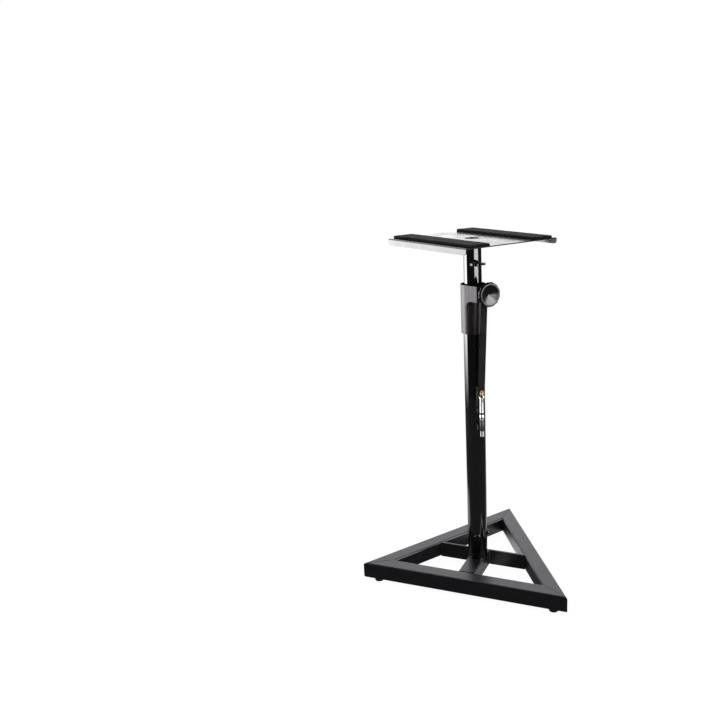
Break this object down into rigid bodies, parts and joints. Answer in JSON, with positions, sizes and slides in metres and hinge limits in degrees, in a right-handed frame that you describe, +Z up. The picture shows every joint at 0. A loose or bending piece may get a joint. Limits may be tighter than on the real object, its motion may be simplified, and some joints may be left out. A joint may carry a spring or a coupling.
{
  "type": "monitor speaker stand",
  "caption": "Floor stand for a studio monitor: triangular tube base, telescoping pole with clamp collar and locking pin on a strap, swivelling square plate with foam strips.",
  "frame": {"origin": "on the floor, below the middle of the stand's bounding box as it is stored", "axes": "+Z up, front rail along X at the -Y side, apex of the base towards +Y"},
  "size_m": [0.44, 0.389, 0.7215],
  "materials": {
    "rail_paint": "satin black powder coat",
    "plate_paint": "gloss black paint",
    "tube_gloss": "gloss black paint",
    "bare_steel": "zinc plated",
    "insert_brass": "turned",
    "foot_rubber": "matte",
    "collar_plastic": "fine texture",
    "knob_plastic": "satin",
    "bush_plastic": "smooth",
    "foam": "closed-cell foam, matte",
    "webbing": "woven",
    "bright_chrome": "polished"
  },
  "bodies": {
    "base": {"front_rail": "rail_paint", "left_rail": "rail_paint", "right_rail": "rail_paint", "cross_bar": "rail_paint", "centre_strut": "rail_paint", "base_stub": "rail_paint", "tube_bolts": "bare_steel", "foot_left": "foot_rubber", "foot_right": "foot_rubber", "foot_back": "foot_rubber", "lower_tube": "tube_gloss", "clamp_collar": "collar_plastic", "collar_bush": "bush_plastic", "collar_screws": "bare_steel", "thread_insert": "insert_brass"},
    "shoe": {"pressure_shoe": "bush_plastic"},
    "knob": {"clamp_knob": "knob_plastic", "clamp_stud": "bare_steel"},
    "carriage": {"guide_bush": "bush_plastic"},
    "mast": {"upper_tube": "tube_gloss", "screw_boss": "bare_steel"},
    "winged_screw": {"wing_screw": "bare_steel"},
    "platform": {"top_plate": "plate_paint", "plate_spigot": "plate_paint", "foam_near": "foam", "foam_far": "foam"},
    "lanyard": {"lock_strap": "webbing", "strap_eyelet": "bare_steel", "pin_ring": "bright_chrome"},
    "pin": {"lock_pin": "bright_chrome"}
  },
  "joints": [
    {"name": "height_slide", "type": "slide", "parent": "base", "child": "carriage", "axis": [0, 0, 1], "range_m": [0, 0.46]},
    {"name": "mast_turn", "type": "hinge", "parent": "carriage", "child": "mast", "pos_m": [0, -0.03898, 0.4], "axis": [0, 0, 1], "continuous": true},
    {"name": "platform_swivel", "type": "hinge", "parent": "mast", "child": "platform", "pos_m": [0, -0.03898, 0.7], "axis": [0, 0, 1], "continuous": true},
    {"name": "wing_screw_turn", "type": "hinge", "parent": "mast", "child": "winged_screw", "pos_m": [0.01385, -0.05608, 0.6705], "axis": [0.6293, -0.7771, 0], "range_deg": [0, 360]},
    {"name": "shoe_slide", "type": "slide", "parent": "base", "child": "shoe", "axis": [0.7986, -0.6018, 0], "range_m": [0, 0.0025]},
    {"name": "knob_turn", "type": "hinge", "parent": "shoe", "child": "knob", "pos_m": [0.03195, -0.06305, 0.6145], "axis": [0.7986, -0.6018, 0], "range_deg": [0, 720]},
    {"name": "strap_swing", "type": "hinge", "parent": "base", "child": "lanyard", "pos_m": [0.03155, -0.06275, 0.6145], "axis": [0.7986, -0.6018, 0], "range_deg": [-80, 80]},
    {"name": "pin_swing", "type": "hinge", "parent": "lanyard", "child": "pin", "pos_m": [0.02531, -0.07103, 0.40097], "axis": [0.7986, -0.6018, 0], "range_deg": [-70, 70]}
  ],
  "couplings": [
    {"joint": "shoe_slide", "follows": "knob_turn", "m_per_rad": 0.00019894}
  ]
}
